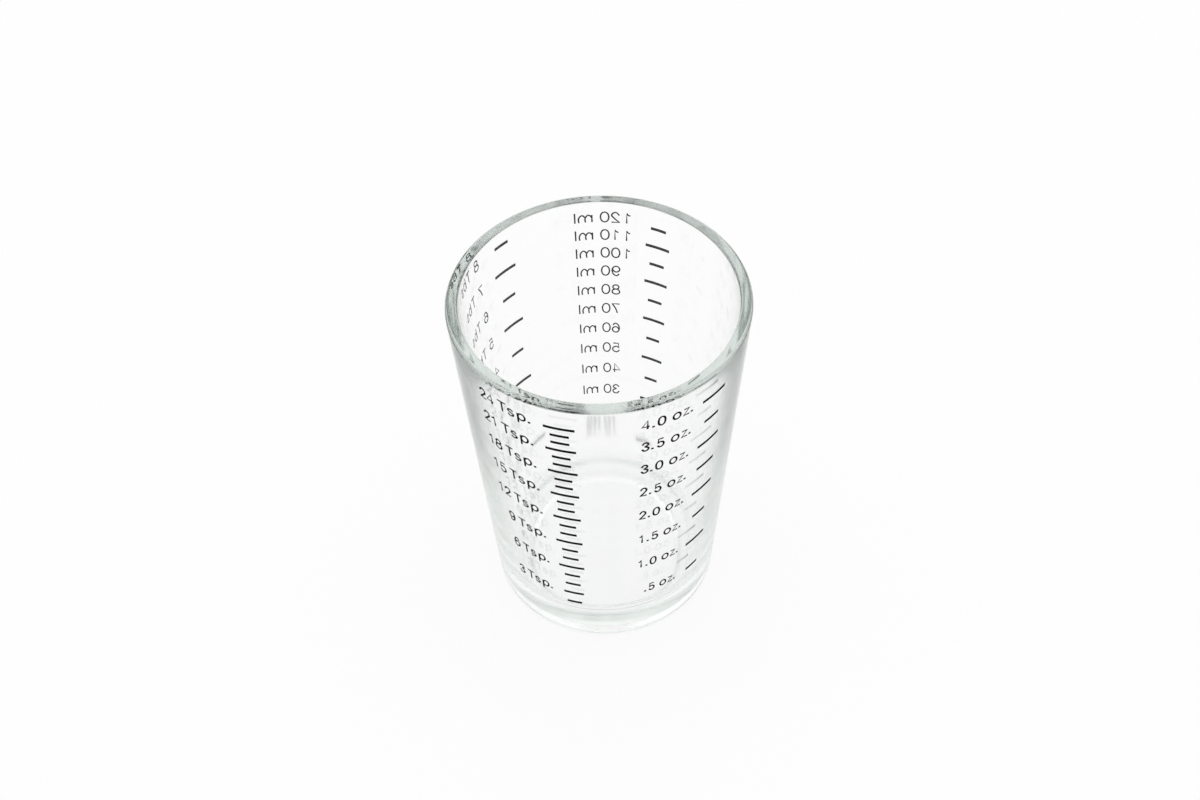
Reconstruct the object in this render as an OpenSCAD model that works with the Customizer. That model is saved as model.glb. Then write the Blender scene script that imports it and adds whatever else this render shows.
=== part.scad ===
// Measuring glass: a pressed tumbler with a tapered wall, a thick floor and a
// flat rim between two rounded lips, with four fired enamel scales on its outside.
// Origin: centre of the ring it stands on, +Z up. Azimuth -90 faces the viewer.
// The marks are placed by the volume that the cavity holds below them.

/* [Outside] */
// Overall height
height = 80; // [74:0.5:96]
// Diameter of the wall's cone at the height of the rim
rim_diameter = 59.4; // [57:0.2:70]
// Diameter of the wall's cone where it meets the table
foot_diameter = 47.2; // [44.5:0.2:52]

/* [Glass] */
// Thickness of the wall at the height of the rim
rim_wall = 2.45; // [2.3:0.05:3.5]
// Thickness of the wall at the height of the floor
floor_wall = 3.9; // [3:0.1:6]
// Thickness of the floor in its middle, over the table
floor_thickness = 5.3; // [4:0.1:9]
// Radius between the floor and the wall of the cavity
floor_fillet = 6.5; // [4:0.25:8]

/* [Rim] */
// Radius of the lip between the rim and the outside
outer_lip = 0.8; // [0.4:0.1:1.2]
// Radius of the lip between the rim and the cavity
inner_lip = 0.5; // [0.3:0.1:1]

/* [Underside] */
// Radius of the foot's outer edge
foot_edge = 2; // [0.6:0.1:3]
// Width of the flat ring that the glass stands on
ring_width = 2.2; // [1:0.1:6]
// Width of the sloping edge of the recess inside the ring
recess_slope = 2.2; // [0.4:0.1:5]
// Depth of the recess
recess_depth = 0.8; // [0.2:0.1:2]

/* [Scale print] */
// Thickness of the enamel
enamel = 0.08; // [0.05:0.01:0.2]
// Height of a mark's line
line_height = 0.65; // [0.3:0.05:0.8]
// Clear wall kept between the top mark and the outer lip
top_margin = 0.5; // [0.25:0.25:4]

/* [Teaspoon scale] */
// Volume of a teaspoon in millilitres
teaspoon = 4.92892; // [4.5:0.00001:5.5]
// Lowest and highest teaspoon marks
teaspoon_marks = [2, 24];
// Azimuth of the middle of the teaspoon marks
teaspoon_azimuth = -106.1; // [-125:0.1:-95]
// Arc of the labelled marks, every third one
teaspoon_long = 11.9; // [9:0.1:14]
// Arc of the lowest labelled mark
teaspoon_lowest = 9.8; // [7:0.1:14]
// Arc of the other marks
teaspoon_short = 7.3; // [5:0.1:8.5]
// Height of the teaspoon print above true level
teaspoon_lift = -0.05; // [-1.5:0.05:1.5]

/* [Ounce scale] */
// Volume of a fluid ounce in millilitres
ounce = 29.5735; // [28:0.0001:31]
// Lowest and highest ounce marks, in halves
half_ounce_marks = [1, 8];
// Azimuth of the middle of the ounce marks
ounce_azimuth = -43.8; // [-60:0.1:-30]
// Arc of the whole-ounce marks
ounce_long = 12.2; // [9:0.1:14]
// Mark that is drawn between the others in length, in halves
ounce_middle_mark = 5; // [1:1:8]
// Arc of that mark
ounce_middle = 10; // [7:0.1:14]
// Arc of the other half-ounce marks
ounce_short = 7.8; // [5:0.1:8.5]
// Height of the ounce print above true level
ounce_lift = -0.35; // [-1.5:0.05:1.5]

/* [Millilitre scale] */
// Millilitres between two marks
millilitre_step = 10; // [10:1:20]
// Lowest and highest millilitre marks, in steps
millilitre_marks = [1, 12];
// Azimuth of the middle of the millilitre marks
millilitre_azimuth = 63.3; // [40:0.1:85]
// Arc of the odd marks
millilitre_long = 11; // [9:0.1:14]
// Arc of the even marks
millilitre_short = 6.9; // [5:0.1:8.5]
// Height of the millilitre print above true level
millilitre_lift = -1.35; // [-1.5:0.05:1.5]

/* [Tablespoon scale] */
// Teaspoons in a tablespoon
tablespoon_ratio = 3; // [3:1:4]
// Lowest and highest tablespoon marks
tablespoon_marks = [1, 8];
// Azimuth of the middle of the tablespoon marks
tablespoon_azimuth = 133.9; // [110:0.1:155]
// Arc of the odd marks
tablespoon_long = 12; // [9:0.1:14]
// Arc of the even marks
tablespoon_short = 7.5; // [5:0.1:8.5]
// Height of the tablespoon print above true level
tablespoon_lift = 1; // [-1.5:0.05:1.5]

/* [Hidden] */
$fn = 360;
glass_colour = [0.86, 0.93, 0.91, 0.4];
enamel_colour = [0.04, 0.04, 0.05];
// Cubic millimetres in a millilitre
ml = 1000;
// Length by which cutting shapes pass the faces that they cut
past = 5;

// Outer wall, a cone from the table to the height of the rim
foot_r = foot_diameter / 2;
rim_r = rim_diameter / 2;
outer_slope = (rim_r - foot_r) / height;
outer_lean = atan(outer_slope);
function outer_r(z) = foot_r + outer_slope * z;

// Cavity wall, a cone from the floor to the height of the rim
floor_r = outer_r(floor_thickness) - floor_wall;
inner_slope = (rim_r - rim_wall - floor_r) / (height - floor_thickness);
inner_lean = atan(inner_slope);
function inner_r(z) = floor_r + inner_slope * (z - floor_thickness);

// Circle of the floor fillet, touching the floor and the cavity wall
fillet_z = floor_thickness + floor_fillet;
fillet_r = inner_r(fillet_z) - floor_fillet / cos(inner_lean);
fillet_top_z = fillet_z - floor_fillet * sin(inner_lean);
fillet_top_r = fillet_r + floor_fillet * cos(inner_lean);

// Circle of the outer lip, touching the outer wall and the rim
outer_lip_z = height - outer_lip;
outer_lip_r = outer_r(outer_lip_z) - outer_lip / cos(outer_lean);
wall_top_z = outer_lip_z - outer_lip * sin(outer_lean);

// Circle of the inner lip, touching the cavity wall and the rim
inner_lip_z = height - inner_lip;
inner_lip_r = inner_r(inner_lip_z) + inner_lip / cos(inner_lean);
mouth_z = inner_lip_z + inner_lip * sin(inner_lean);
mouth_r = inner_r(mouth_z);

// Circle of the foot's outer edge, touching the table and the outer wall
edge_r = outer_r(foot_edge) - foot_edge / cos(outer_lean);
edge_top_z = foot_edge - foot_edge * sin(outer_lean);
edge_top_r = edge_r + foot_edge * cos(outer_lean);

// Recess, a shallow dish inside the ring with a flat roof
recess_r = edge_r - ring_width;
roof_r = recess_r - recess_slope;

// Volume in the rounded bottom of the cavity, up to the top of its fillet
fillet_drop = fillet_z - fillet_top_z;
fillet_rise = floor_fillet - fillet_drop;
fillet_sweep = acos(fillet_drop / floor_fillet) * PI / 180;
fillet_segment = (pow(floor_fillet, 2) * fillet_sweep
    - fillet_drop * sqrt(pow(floor_fillet, 2) - pow(fillet_drop, 2))) / 2;
bottom_volume = PI * (pow(fillet_r, 2) * fillet_rise
    + 2 * fillet_r * fillet_segment
    + pow(floor_fillet, 2) * fillet_rise
    - (pow(floor_fillet, 3) - pow(fillet_drop, 3)) / 3);

// Radius of the liquid's surface, and its height, at a volume in cubic millimetres
function surface_r(volume) =
    pow(pow(fillet_top_r, 3) + 3 * inner_slope * (volume - bottom_volume) / PI, 1 / 3);
function level(volume) = floor_thickness + (surface_r(volume) - floor_r) / inner_slope;

// Highest middle of a mark
top_mark_z = wall_top_z - top_margin;

// Half section of the outside, before the cavity and the recess are taken out
module outer_section() {
    polygon([[0, 0], [edge_r, 0], [edge_top_r, edge_top_z], [outer_r(wall_top_z), wall_top_z],
        [outer_lip_r, outer_lip_z], [outer_lip_r, height], [inner_lip_r, height],
        [inner_lip_r, inner_lip_z], [mouth_r, mouth_z], [0, mouth_z]]);
    translate([edge_r, foot_edge]) circle(r = foot_edge);
    translate([outer_lip_r, outer_lip_z]) circle(r = outer_lip);
    translate([inner_lip_r, inner_lip_z]) circle(r = inner_lip);
}

// Half section of the cavity
module cavity_section() {
    polygon([[0, floor_thickness], [fillet_r, floor_thickness], [fillet_r, fillet_z],
        [fillet_top_r, fillet_top_z], [mouth_r, mouth_z], [mouth_r, height + past],
        [0, height + past]]);
    intersection() {
        translate([fillet_r, fillet_z]) circle(r = floor_fillet);
        translate([fillet_r, floor_thickness]) square([floor_fillet, floor_fillet]);
    }
}

// Half section of the recess under the foot
module recess_section() {
    polygon([[0, -past], [recess_r, -past], [recess_r, 0], [roof_r, recess_depth],
        [0, recess_depth]]);
}

module glass_body() {
    color(glass_colour)
        rotate_extrude()
            difference() {
                outer_section();
                cavity_section();
                recess_section();
            }
}

// One mark: a film of enamel that follows the wall
module mark(z, azimuth, arc) {
    low = z - line_height / 2;
    high = z + line_height / 2;
    rotate([0, 0, azimuth - arc / 2])
        rotate_extrude(angle = arc)
            polygon([[outer_r(low), low], [outer_r(low) + enamel, low],
                [outer_r(high) + enamel, high], [outer_r(high), high]]);
}

// A column of marks for whole numbers of one unit, each with its own arc
module marks(range, unit, azimuth, lift, arcs) {
    color(enamel_colour)
        for (i = [range[0] : range[1]]) {
            z = level(i * unit * ml) + lift;
            if (z < top_mark_z) mark(z, azimuth, arcs[i - range[0]]);
        }
}

module teaspoon_scale() {
    marks(teaspoon_marks, teaspoon, teaspoon_azimuth, teaspoon_lift,
        [for (i = [teaspoon_marks[0] : teaspoon_marks[1]])
            i == tablespoon_ratio ? teaspoon_lowest
                : i % tablespoon_ratio == 0 ? teaspoon_long : teaspoon_short]);
}

module ounce_scale() {
    marks(half_ounce_marks, ounce / 2, ounce_azimuth, ounce_lift,
        [for (i = [half_ounce_marks[0] : half_ounce_marks[1]])
            i == ounce_middle_mark ? ounce_middle : i % 2 == 0 ? ounce_long : ounce_short]);
}

module millilitre_scale() {
    marks(millilitre_marks, millilitre_step, millilitre_azimuth, millilitre_lift,
        [for (i = [millilitre_marks[0] : millilitre_marks[1]])
            i % 2 == 1 ? millilitre_long : millilitre_short]);
}

module tablespoon_scale() {
    marks(tablespoon_marks, teaspoon * tablespoon_ratio, tablespoon_azimuth, tablespoon_lift,
        [for (i = [tablespoon_marks[0] : tablespoon_marks[1]])
            i % 2 == 1 ? tablespoon_long : tablespoon_short]);
}

glass_body();
teaspoon_scale();
ounce_scale();
millilitre_scale();
tablespoon_scale();
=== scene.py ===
"""Measuring glass: a pressed tumbler with four enamel scales, on a white table."""
import math

import bpy
from mathutils import Matrix, Vector


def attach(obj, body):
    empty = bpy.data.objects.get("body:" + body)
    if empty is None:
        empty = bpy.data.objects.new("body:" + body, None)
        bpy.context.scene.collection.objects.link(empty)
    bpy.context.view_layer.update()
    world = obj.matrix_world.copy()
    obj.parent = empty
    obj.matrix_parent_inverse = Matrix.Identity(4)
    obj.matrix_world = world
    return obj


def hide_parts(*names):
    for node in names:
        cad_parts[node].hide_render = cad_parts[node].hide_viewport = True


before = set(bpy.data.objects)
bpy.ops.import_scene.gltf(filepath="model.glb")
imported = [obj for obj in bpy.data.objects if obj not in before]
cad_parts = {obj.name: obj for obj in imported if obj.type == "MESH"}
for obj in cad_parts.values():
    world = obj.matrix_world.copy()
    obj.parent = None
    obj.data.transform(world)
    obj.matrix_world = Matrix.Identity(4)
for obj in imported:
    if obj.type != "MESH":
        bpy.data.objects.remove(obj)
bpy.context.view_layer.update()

MM = 0.001

# Sizes of the glass in millimetres, as the solids have them
HEIGHT = 80.0
RIM_RADIUS = 29.7
FOOT_RADIUS = 23.6
RIM_WALL = 2.45
FLOOR_WALL = 3.9
FLOOR_LEVEL = 5.3
FLOOR_FILLET = 6.5
OUTER_LIP = 0.8
INNER_LIP = 0.5
FOOT_EDGE = 2.0
RING_WIDTH = 2.2
RECESS_DEPTH = 0.8
RECESS_SLOPE = 2.2

# The glass wets the enamel by this much, so that the print sits in its surface
WET = 0.015
# Faces round the glass, and the turn between two points of an arc in its section
SIDES = 256
ARC_STEP = math.radians(5)
# Side of the table, and air between the foot and the table, in metres
TABLE_SIZE = 6
TABLE_GAP = 0.00002

# Units of volume, in cubic millimetres
TEASPOON = 4928.92
OUNCE = 29573.5
MILLILITRE = 1000.0

# Widths of the lettering's strokes on the two front scales and on the two back ones
FRONT_STROKE = 0.45
BACK_STROKE = 0.34
# Rise of the lettering over the wall, and its bite into the glass's skin
ENAMEL = 0.07
BITE = 0.03
# Radius at which the lettering is drawn flat before it is wrapped
FLAT_RADIUS = 29.1


def deselect_all():
    for item in bpy.context.selected_objects:
        item.select_set(False)


# Profile of the glass
outer_slope = (RIM_RADIUS - FOOT_RADIUS) / HEIGHT
outer_lean = math.atan(outer_slope)


def outer_radius(z):
    return FOOT_RADIUS + outer_slope * z


floor_radius = outer_radius(FLOOR_LEVEL) - FLOOR_WALL
inner_slope = (RIM_RADIUS - RIM_WALL - floor_radius) / (HEIGHT - FLOOR_LEVEL)
inner_lean = math.atan(inner_slope)


def inner_radius(z):
    return floor_radius + inner_slope * (z - FLOOR_LEVEL)


fillet_z = FLOOR_LEVEL + FLOOR_FILLET
fillet_radius = inner_radius(fillet_z) - FLOOR_FILLET / math.cos(inner_lean)


def level(volume):
    """Height of the liquid's surface over the table, in closed form."""
    drop = FLOOR_FILLET * math.sin(inner_lean)
    rise = FLOOR_FILLET - drop
    segment = (FLOOR_FILLET ** 2 * math.acos(drop / FLOOR_FILLET)
               - drop * math.sqrt(FLOOR_FILLET ** 2 - drop ** 2)) / 2
    bottom = math.pi * (fillet_radius ** 2 * rise
                        + 2 * fillet_radius * segment
                        + FLOOR_FILLET ** 2 * rise
                        - (FLOOR_FILLET ** 3 - drop ** 3) / 3)
    top_radius = fillet_radius + FLOOR_FILLET * math.cos(inner_lean)
    surface = (top_radius ** 3 + 3 * inner_slope * (volume - bottom) / math.pi) ** (1 / 3)
    return FLOOR_LEVEL + (surface - floor_radius) / inner_slope


def arc(centre, radius, start, end):
    """Points along an arc, both ends included."""
    steps = max(3, math.ceil(abs(end - start) / ARC_STEP))
    angles = [start + (end - start) * i / steps for i in range(steps + 1)]
    return [(centre[0] + radius * math.cos(t), centre[1] + radius * math.sin(t)) for t in angles]


def straight(start, end, pitch=6.0, hold=0.25):
    """Points between two ends, closer at the ends so that the smooth shading of the arcs stays out."""
    length = math.dist(start, end)
    if length < 4 * hold:
        return []
    count = max(1, round(length / pitch))
    shares = [hold / length] + [i / count for i in range(1, count)] + [1 - hold / length]
    return [(start[0] + (end[0] - start[0]) * s, start[1] + (end[1] - start[1]) * s) for s in shares]


def glass_profile():
    """Half section of the glass, from the underside's middle round the outside to the floor's."""
    outer_z = HEIGHT - OUTER_LIP
    inner_z = HEIGHT - INNER_LIP
    outer_lip = (outer_radius(outer_z) - OUTER_LIP / math.cos(outer_lean), outer_z)
    inner_lip = (inner_radius(inner_z) + INNER_LIP / math.cos(inner_lean), inner_z)
    edge_centre = (outer_radius(FOOT_EDGE) - FOOT_EDGE / math.cos(outer_lean), FOOT_EDGE)
    recess = edge_centre[0] - RING_WIDTH
    roof = recess - RECESS_SLOPE
    under = [(r, RECESS_DEPTH) for r in (0, 6, 12, roof - 0.2, roof)]
    under += straight(under[-1], (recess, 0)) + [(recess, 0)]
    edge = arc(edge_centre, FOOT_EDGE, -math.pi / 2, -outer_lean)
    outside = arc(outer_lip, OUTER_LIP, -outer_lean, math.pi / 2)
    inside = arc(inner_lip, INNER_LIP, math.pi / 2, math.pi - inner_lean)
    fillet = arc((fillet_radius, fillet_z), FLOOR_FILLET, -inner_lean, -math.pi / 2)
    wall = [(r + WET, z) for r, z in straight(edge[-1], outside[0])]
    middle = (0, FLOOR_LEVEL)
    return (under + straight(under[-1], edge[0]) + edge + wall + outside
            + straight(outside[-1], inside[0]) + inside + straight(inside[-1], fillet[0]) + fillet
            + straight(fillet[-1], middle) + [middle])


def turn(name, outline, sides):
    """Turns a half section round the Z axis: a point drawn along it, then spun and its seams closed."""
    deselect_all()
    first = outline[0]
    bpy.ops.mesh.primitive_plane_add(size=MM, location=(first[0] * MM, 0, first[1] * MM))
    piece = bpy.context.object
    piece.name = name
    bpy.ops.object.mode_set(mode="EDIT")
    bpy.ops.mesh.select_all(action="SELECT")
    bpy.ops.mesh.merge(type="CENTER")
    for here, there in zip(outline, outline[1:]):
        step = ((there[0] - here[0]) * MM, 0, (there[1] - here[1]) * MM)
        bpy.ops.mesh.extrude_region_move(TRANSFORM_OT_translate={"value": step})
    bpy.ops.mesh.select_all(action="SELECT")
    bpy.ops.mesh.spin(steps=sides, angle=2 * math.pi, center=(0, 0, 0), axis=(0, 0, 1))
    bpy.ops.mesh.select_all(action="SELECT")
    bpy.ops.mesh.remove_doubles(threshold=1e-6)
    bpy.ops.mesh.normals_make_consistent(inside=False)
    bpy.ops.object.mode_set(mode="OBJECT")
    bpy.ops.object.transform_apply(location=True, rotation=True, scale=True)
    bpy.ops.object.shade_smooth_by_angle(angle=math.radians(40))
    return piece


# Lettering: the strokes of each character, in capital heights. A stroke is closed or open, then its
# points, and a point with a third value is a corner.
LOOP = True
LINE = False
GLYPHS = {
    "0": [(LOOP, [(.33, 0), (.62, .5), (.33, 1), (.04, .5)])],
    "1": [(LINE, [(.12, .79, 1), (.28, .84), (.38, 1, 1), (.38, 0, 1)])],
    "2": [(LINE, [(.06, .72), (.33, 1), (.6, .73), (.42, .4), (.05, 0, 1), (.62, 0, 1)])],
    "3": [(LINE, [(.07, .78), (.33, 1), (.58, .76), (.3, .54, 1),
                  (.62, .28), (.33, 0), (.05, .25)])],
    "4": [(LINE, [(.46, 0, 1), (.46, 1, 1), (.0, .28, 1), (.62, .28, 1)])],
    "5": [(LINE, [(.56, 1, 1), (.14, 1, 1), (.09, .5, 1), (.33, .64),
                  (.61, .32), (.32, 0), (.05, .22)])],
    "6": [(LINE, [(.58, .8), (.36, 1), (.06, .45), (.33, 0), (.62, .31), (.34, .61), (.07, .35)])],
    "7": [(LINE, [(.05, 1, 1), (.62, 1, 1), (.36, .5), (.22, 0, 1)])],
    "8": [(LOOP, [(.33, 1), (.56, .77), (.33, .54), (.1, .77)]),
          (LOOP, [(.33, .54), (.62, .27), (.33, 0), (.04, .27)])],
    "9": [(LINE, [(.08, .2), (.3, 0), (.6, .55), (.33, 1), (.04, .69), (.32, .39), (.59, .65)])],
    ".": [(LOOP, [(.03, .04, 1), (.12, .04, 1), (.12, .12, 1), (.03, .12, 1)])],
    "T": [(LINE, [(0, 1, 1), (.68, 1, 1)]), (LINE, [(.34, 1, 1), (.34, 0, 1)])],
    "s": [(LINE, [(.49, .54), (.28, .7), (.08, .53), (.28, .36), (.52, .18), (.28, 0), (.05, .16)])],
    "p": [(LINE, [(.07, .68, 1), (.07, -.35, 1)]), (LOOP, [(.36, .7), (.64, .35), (.36, 0), (.08, .35)])],
    "o": [(LOOP, [(.33, .74), (.64, .37), (.33, 0), (.02, .37)])],
    "z": [(LINE, [(.05, .7, 1), (.5, .7, 1), (.03, 0, 1), (.52, 0, 1)])],
    "m": [(LINE, [(0, .72, 1), (0, 0, 1)]),
          (LINE, [(0, .46), (.28, .72), (.56, .46), (.56, 0, 1)]),
          (LINE, [(.56, .46), (.84, .72), (1.12, .46), (1.12, 0, 1)])],
    "l": [(LINE, [(0, 1, 1), (0, 0, 1)])],
    "b": [(LINE, [(.06, 1, 1), (.06, 0, 1)]), (LOOP, [(.33, .7), (.6, .35), (.33, 0), (.07, .35)])],
}


def lettering(name, capital, width, stretch, labels):
    """Writes labels on the wall: each is a baseline height, and characters with their azimuths."""
    drawing = bpy.data.curves.new(name, "CURVE")
    drawing.dimensions = "3D"
    drawing.bevel_depth = width / 2 * MM
    drawing.bevel_resolution = 1
    drawing.resolution_u = 5
    drawing.use_fill_caps = True
    for baseline, characters in labels:
        for character, azimuth in characters:
            for closed, points in GLYPHS[character]:
                stroke = drawing.splines.new("BEZIER")
                stroke.bezier_points.add(len(points) - 1)
                stroke.use_cyclic_u = closed
                start = math.radians(azimuth) * FLAT_RADIUS
                cell = capital * stretch.get(character, 1)
                for point, place in zip(stroke.bezier_points, points):
                    bend = "VECTOR" if len(place) == 3 else "AUTO"
                    point.co = ((start + place[0] * cell) * MM, (baseline + place[1] * capital) * MM, 0)
                    point.handle_left_type = bend
                    point.handle_right_type = bend
    piece = bpy.data.objects.new(name, drawing)
    bpy.context.scene.collection.objects.link(piece)
    deselect_all()
    piece.select_set(True)
    bpy.context.view_layer.objects.active = piece
    bpy.ops.object.convert(target="MESH")
    for vertex in piece.data.vertices:
        along, z, lift = (value / MM for value in vertex.co)
        lift = lift / (width / 2)
        radius = outer_radius(z) + (ENAMEL if lift > 0 else BITE) * lift
        turned = along / FLAT_RADIUS
        vertex.co = (radius * math.cos(turned) * MM, radius * math.sin(turned) * MM, z * MM)
    bpy.ops.object.shade_smooth_by_angle(angle=math.radians(50))
    return piece


def spread(word, cells):
    """Pairs the characters of a label, from the right, with the azimuths of its column's cells."""
    return list(zip(word, cells[len(cells) - len(word):]))


# Materials
class Tap:
    """One output of a node. Sums and products of taps add the Math nodes that work them out."""

    def __init__(self, paint, socket):
        self.paint = paint
        self.socket = socket

    def _math(self, operation, a, b=0.0):
        return self.paint.node("ShaderNodeMath", {"operation": operation}, {0: a, 1: b})

    def __add__(self, other):
        return self._math("ADD", self, other)

    def __rsub__(self, other):
        return self._math("SUBTRACT", other, self)

    def __mul__(self, other):
        return self._math("MULTIPLY", self, other)

    def __abs__(self):
        return self._math("ABSOLUTE", self)


class Paint:
    """A material's node tree, with one method that adds any node."""

    def __init__(self, name=None, world=None):
        self.owner = world or bpy.data.materials.new(name)
        self.owner.use_nodes = True
        self.tree = self.owner.node_tree
        self.tree.nodes.clear()

    def node(self, kind, settings=None, inputs=None, out=0):
        made = self.tree.nodes.new(kind)
        for key, value in (settings or {}).items():
            if key == "stops":
                ramp = made.color_ramp
                while len(ramp.elements) < len(value):
                    ramp.elements.new(0.5)
                for element, (place, colour) in zip(ramp.elements, value):
                    element.position = place
                    element.color = colour
            else:
                setattr(made, key, value)
        for key, value in (inputs or {}).items():
            if isinstance(value, Tap):
                self.tree.links.new(value.socket, made.inputs[key])
            else:
                made.inputs[key].default_value = value
        return Tap(self, made.outputs[out])

    def finish(self, surface, volume=None):
        inputs = {"Surface": surface}
        if volume:
            inputs["Volume"] = volume
        owned = "World" if isinstance(self.owner, bpy.types.World) else "Material"
        made = self.tree.nodes.new("ShaderNodeOutput" + owned)
        for key, value in inputs.items():
            self.tree.links.new(value.socket, made.inputs[key])
        return self.owner


def fade(paint, value, start, end, low=0.0, high=1.0):
    """A value that goes from low to high while another goes from start to end."""
    return paint.node("ShaderNodeMapRange", inputs={
        "Value": value, "From Min": start, "From Max": end, "To Min": low, "To Max": high})


def grey(shade):
    return (shade, shade, shade, 1)


def pressed_glass():
    """Clear glass with a green cast, and long shallow waves that the mould left in it."""
    paint = Paint("pressed_glass")
    place = paint.node("ShaderNodeTexCoord", out="Object")
    drawn = paint.node("ShaderNodeMapping", inputs={"Vector": place, "Scale": (1, 1, 0.25)})
    waves = paint.node("ShaderNodeTexNoise", inputs={"Vector": drawn, "Scale": 60, "Detail": 2}, out="Fac")
    bump = paint.node("ShaderNodeBump", inputs={
        "Strength": 0.05, "Distance": 0.001, "Height": waves}, out="Normal")
    shader = paint.node("ShaderNodeBsdfPrincipled", inputs={
        "Base Color": (1, 1, 1, 1), "Roughness": 0.06, "IOR": 1.52, "Transmission Weight": 1.0,
        "Normal": bump})
    tint = paint.node("ShaderNodeVolumeAbsorption", inputs={
        "Color": (0.45, 0.6, 0.52, 1), "Density": 5.5})
    return paint.finish(shader, tint)


def black_enamel():
    """Fired enamel, black with a fine grain."""
    paint = Paint("black_enamel")
    place = paint.node("ShaderNodeTexCoord", out="Object")
    grain = paint.node("ShaderNodeTexNoise", inputs={"Vector": place, "Scale": 900, "Detail": 3}, out="Fac")
    stops = [(0.3, (0.003, 0.003, 0.004, 1)), (0.75, (0.012, 0.012, 0.014, 1))]
    colour = paint.node("ShaderNodeValToRGB", {"stops": stops}, {"Fac": grain})
    bump = paint.node("ShaderNodeBump", inputs={
        "Strength": 0.2, "Distance": 0.00002, "Height": grain}, out="Normal")
    shader = paint.node("ShaderNodeBsdfPrincipled", inputs={
        "Base Color": colour, "Roughness": grain * 0.3 + 0.6, "Specular IOR Level": 0.04,
        "Normal": bump})
    return paint.finish(shader)


# The glass
tumbler = turn("tumbler", glass_profile(), SIDES)
tumbler.data.materials.append(pressed_glass())
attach(tumbler, "root")
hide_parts("glass_body")

enamel = black_enamel()
for scale in ("teaspoon_scale", "ounce_scale", "millilitre_scale", "tablespoon_scale"):
    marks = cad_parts[scale]
    marks.data.materials.clear()
    marks.data.materials.append(enamel)

# Height of each print over the true level, in millimetres, as the solids have it
TEASPOON_LIFT = -0.05
OUNCE_LIFT = -0.35
MILLILITRE_LIFT = -1.35
TABLESPOON_LIFT = 1.0
# Drop of each column's baselines below its marks
TEASPOON_DROP = 0.8
OUNCE_DROP = 0.55
MILLILITRE_DROP = -0.08
TABLESPOON_DROP = 0.6
# Azimuths where the characters of each column start
TEASPOON_CELLS = (-141.1, -137.0, -131.2, -127.0, -122.67, -118.07)
OUNCE_CELLS = (-75.65, -71.6, -69.5, -63.4, -59.05, -55.6)
MILLILITRE_CELLS = (75.0, 80.0, 84.6, 91.9, 99.1)
TABLESPOON_CELLS = (148.9, 156.4, 161.2, 165.3)
DIGITS = "0123456789"

columns = {"teaspoon_lettering": [], "ounce_lettering": [], "millilitre_lettering": [],
           "tablespoon_lettering": []}
for count in range(3, 25, 3):
    baseline = level(count * TEASPOON) + TEASPOON_LIFT - TEASPOON_DROP
    columns["teaspoon_lettering"].append((baseline, spread("%dTsp." % count, TEASPOON_CELLS)))
for halves in range(1, 9):
    baseline = level(halves * OUNCE / 2) + OUNCE_LIFT - OUNCE_DROP
    word = ("%.1foz." % (halves / 2)).lstrip("0")
    columns["ounce_lettering"].append((baseline, spread(word, OUNCE_CELLS)))
for tens in range(1, 13):
    baseline = level(tens * 10 * MILLILITRE) + MILLILITRE_LIFT - MILLILITRE_DROP
    columns["millilitre_lettering"].append((baseline, spread("%dml" % (tens * 10), MILLILITRE_CELLS)))
for count in range(1, 9):
    baseline = level(count * 3 * TEASPOON) + TABLESPOON_LIFT - TABLESPOON_DROP
    columns["tablespoon_lettering"].append((baseline, spread("%dTbs" % count, TABLESPOON_CELLS)))

# Capital height, stroke width and the digits' stretch of each column
styles = {"teaspoon_lettering": (2.69, FRONT_STROKE, 1), "ounce_lettering": (2.5, FRONT_STROKE, 0.95),
          "millilitre_lettering": (2.5, BACK_STROKE, 1.22),
          "tablespoon_lettering": (2.5, BACK_STROKE, 1.1)}
for name, labels in columns.items():
    capital, width, wide = styles[name]
    piece = lettering(name, capital, width, dict.fromkeys(DIGITS, wide), labels)
    piece.data.materials.append(enamel)
    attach(piece, "root")

# The table, white paper. A share of its white is its own, as in a bright picture, seen straight or
# through the glass. A painted shadow, a dark ring seen only through the glass, darkens the table in the
# narrow gap beside the ring that the glass stands on.
TABLE_GLOW = 0.9
THROUGH_GLOW = 0.45
# Radii where the painted shadow in the gap starts, is darkest and ends, in metres
GAP_SHADOW_START = 0.0189
GAP_SHADOW_MIDDLE = 0.0194
GAP_SHADOW_END = 0.0199

deselect_all()
bpy.ops.mesh.primitive_plane_add(size=TABLE_SIZE, location=(0, 0, -TABLE_GAP))
table = bpy.context.object
table.name = "table"
paint = Paint("white_table")
place = paint.node("ShaderNodeTexCoord", out="Object")
reach = paint.node("ShaderNodeVectorMath", {"operation": "LENGTH"}, {0: place}, out="Value")
# Painted shadow: a ring on the table where its glow, seen through the glass, fades to nothing and back
gap_painted_shade = (fade(paint, reach, GAP_SHADOW_START, GAP_SHADOW_MIDDLE, 1.0, 0.0)
       + fade(paint, reach, GAP_SHADOW_MIDDLE, GAP_SHADOW_END, 0.0, 1.0))
straight_on = paint.node("ShaderNodeLightPath", out="Is Camera Ray")
through = (paint.node("ShaderNodeLightPath", out="Is Glossy Ray")
           + paint.node("ShaderNodeLightPath", out="Is Transmission Ray"))
paper = paint.node("ShaderNodeBsdfDiffuse", inputs={"Color": grey(0.97)})
white = paint.node("ShaderNodeEmission", inputs={"Color": grey(1), "Strength": 1.0})
table.data.materials.append(paint.finish(paint.node("ShaderNodeMixShader", inputs={
    0: straight_on * TABLE_GLOW + through * gap_painted_shade * THROUGH_GLOW, 1: paper, 2: white})))

# The light: a wide white screen over and behind the glass. Up to some height, the room before it and
# at its sides is dim, which draws the wall and the rim.
FRONT_SHARE = 0.14
SIDE_LEVEL = 0.3
# Ranges of the direction over which the dimness comes and goes: before the glass by depth and by
# height, and at its sides by width
FRONT_DEPTHS = (-0.4, 0.25)
FRONT_HEIGHTS = (0.45, 0.68)
SIDE_STARTS = (0.3, 0.55)
SIDE_ENDS = (0.7, 0.85)
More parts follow.
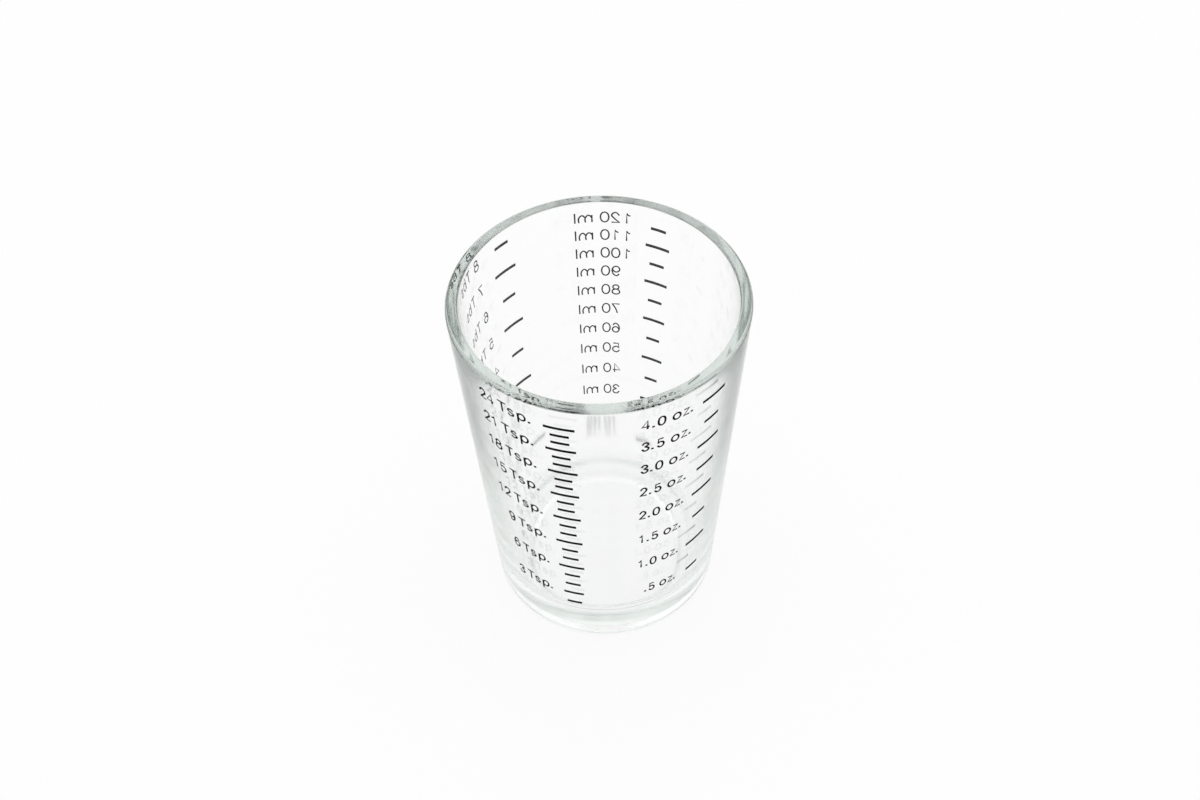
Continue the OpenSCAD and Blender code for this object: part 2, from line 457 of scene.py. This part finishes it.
# Brightness of the screen, and strength of the dim sides, at heights of the direction
SCREEN = [(0, grey(1.05)), (0.03, grey(1.05)), (0.5, grey(1.1)), (1, grey(1.15))]
SIDE_BAND = [(0.02, grey(0)), (0.05, grey(1)), (0.45, grey(1)), (0.55, grey(0))]

world = bpy.data.worlds.new("studio")
bpy.context.scene.world = world
paint = Paint(world=world)
direction = paint.node("ShaderNodeTexCoord", out="Generated")
height = paint.node("ShaderNodeSeparateXYZ", inputs={0: direction}, out="Z")
depth = paint.node("ShaderNodeSeparateXYZ", inputs={0: direction}, out="Y")
side = abs(paint.node("ShaderNodeSeparateXYZ", inputs={0: direction}, out="X"))
screen = paint.node("ShaderNodeValToRGB", {"stops": SCREEN}, {"Fac": height})
before = (fade(paint, depth, *FRONT_DEPTHS, 1.0 - FRONT_SHARE, 0.0)
          * fade(paint, height, *FRONT_HEIGHTS, 1.0, 0.0))
screen = paint.node("ShaderNodeVectorMath", {"operation": "SCALE"}, {0: screen, "Scale": 1.0 - before})
dim = (fade(paint, side, *SIDE_STARTS) * fade(paint, side, *SIDE_ENDS, 1.0, 0.0)
       * paint.node("ShaderNodeValToRGB", {"stops": SIDE_BAND}, {"Fac": height}))
room = paint.node("ShaderNodeMix", {"data_type": "RGBA"}, {
    "Factor": dim, 6: screen, 7: grey(SIDE_LEVEL)}, out=2)
colour = paint.node("ShaderNodeMix", {"data_type": "RGBA"}, {
    "Factor": paint.node("ShaderNodeLightPath", out="Is Camera Ray"), 6: room, 7: grey(1)}, out=2)
paint.finish(paint.node("ShaderNodeBackground", inputs={"Color": colour, "Strength": 1.0}))

# Camera, from the outline of the rim and the wall and the rows of marks in the photograph
FOCAL_PIXELS = 1776.41
IMAGE_WIDTH = 1200
SENSOR = 36.0
ELEVATION = math.radians(48.1137)
ROLL = math.radians(-1.6264)
DISTANCE = 362.92
TARGET = (-0.326, 0, 50.38)
ahead = Vector((0, math.cos(ELEVATION), -math.sin(ELEVATION)))
right = Vector((1, 0, 0))
above = right.cross(ahead)
rightward = right * math.cos(ROLL) + above * math.sin(ROLL)
upward = above * math.cos(ROLL) - right * math.sin(ROLL)
camera_data = bpy.data.cameras.new("camera")
camera_data.sensor_width = SENSOR
camera_data.lens = FOCAL_PIXELS * SENSOR / IMAGE_WIDTH
camera_data.clip_start = 0.01
camera = bpy.data.objects.new("camera", camera_data)
bpy.context.scene.collection.objects.link(camera)
eye = (Vector(TARGET) - ahead * DISTANCE) * MM
turned = Matrix((rightward, upward, -ahead)).transposed().to_4x4()
camera.matrix_world = Matrix.Translation(eye) @ turned
bpy.context.scene.camera = camera
bpy.context.scene.view_settings.view_transform = "Standard"

# Light that runs round inside the thick glass meets many faces before it leaves
BOUNCES = 32
for kind in ("max_bounces", "glossy_bounces", "transmission_bounces"):
    setattr(bpy.context.scene.cycles, kind, BOUNCES)
